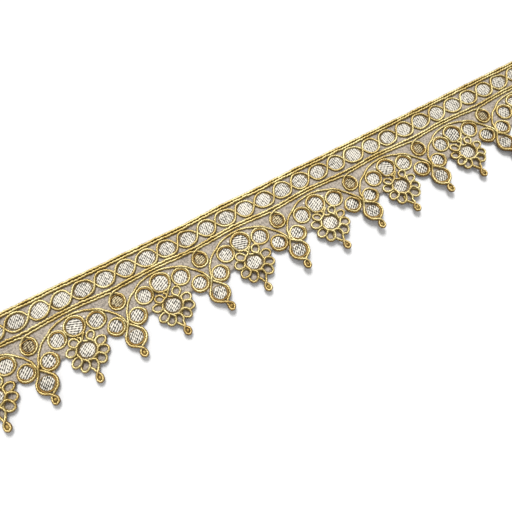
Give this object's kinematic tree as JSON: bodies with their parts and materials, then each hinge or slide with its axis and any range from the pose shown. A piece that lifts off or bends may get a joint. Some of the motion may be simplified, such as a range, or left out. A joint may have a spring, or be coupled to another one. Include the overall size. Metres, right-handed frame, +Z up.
{
  "type": "gota lace trim",
  "caption": "Flat length of sheer ribbon edged with couched gold cords and woven metal rounds, with a scalloped edge of round pendants and looped flowers.",
  "frame": {"origin": "middle of the trim's outline, on the surface it lies on", "axes": "+X along the trim, +Y towards the straight edge, +Z up from the surface"},
  "size_m": [0.3588, 0.0536, 0.0048],
  "materials": {
    "net": "sheer warm grey organza ribbon",
    "gold_cord": "twisted metallic gold cord, satin",
    "rounds_in_cord": "woven silver gota rounds framed in twisted gold cord",
    "crinkled_gold": "crinkled dull gold gota"
  },
  "bodies": {
    "root": {"net_ground": "net", "top_cord_outer": "gold_cord", "top_cord_inner": "gold_cord", "lower_cord_upper": "gold_cord", "lower_cord_looped": "gold_cord", "border_chain": "rounds_in_cord", "gold_round_1": "crinkled_gold", "gold_round_2": "crinkled_gold", "gold_round_3": "crinkled_gold", "gold_round_4": "crinkled_gold", "gold_round_5": "crinkled_gold", "gold_round_6": "crinkled_gold", "gold_round_7": "crinkled_gold", "arch_1": "rounds_in_cord", "arch_2": "rounds_in_cord", "arch_3": "rounds_in_cord", "arch_4": "rounds_in_cord", "arch_5": "rounds_in_cord", "arch_6": "rounds_in_cord", "arch_7": "rounds_in_cord", "arch_8": "rounds_in_cord", "pendant_1": "rounds_in_cord", "pendant_2": "rounds_in_cord", "pendant_3": "rounds_in_cord", "pendant_4": "rounds_in_cord", "pendant_5": "rounds_in_cord", "pendant_6": "rounds_in_cord", "pendant_7": "rounds_in_cord", "flower_1": "rounds_in_cord", "flower_2": "rounds_in_cord", "flower_3": "rounds_in_cord", "flower_4": "rounds_in_cord", "flower_5": "rounds_in_cord", "flower_6": "rounds_in_cord", "flower_7": "rounds_in_cord", "flower_8": "rounds_in_cord"}
  },
  "joints": []
}
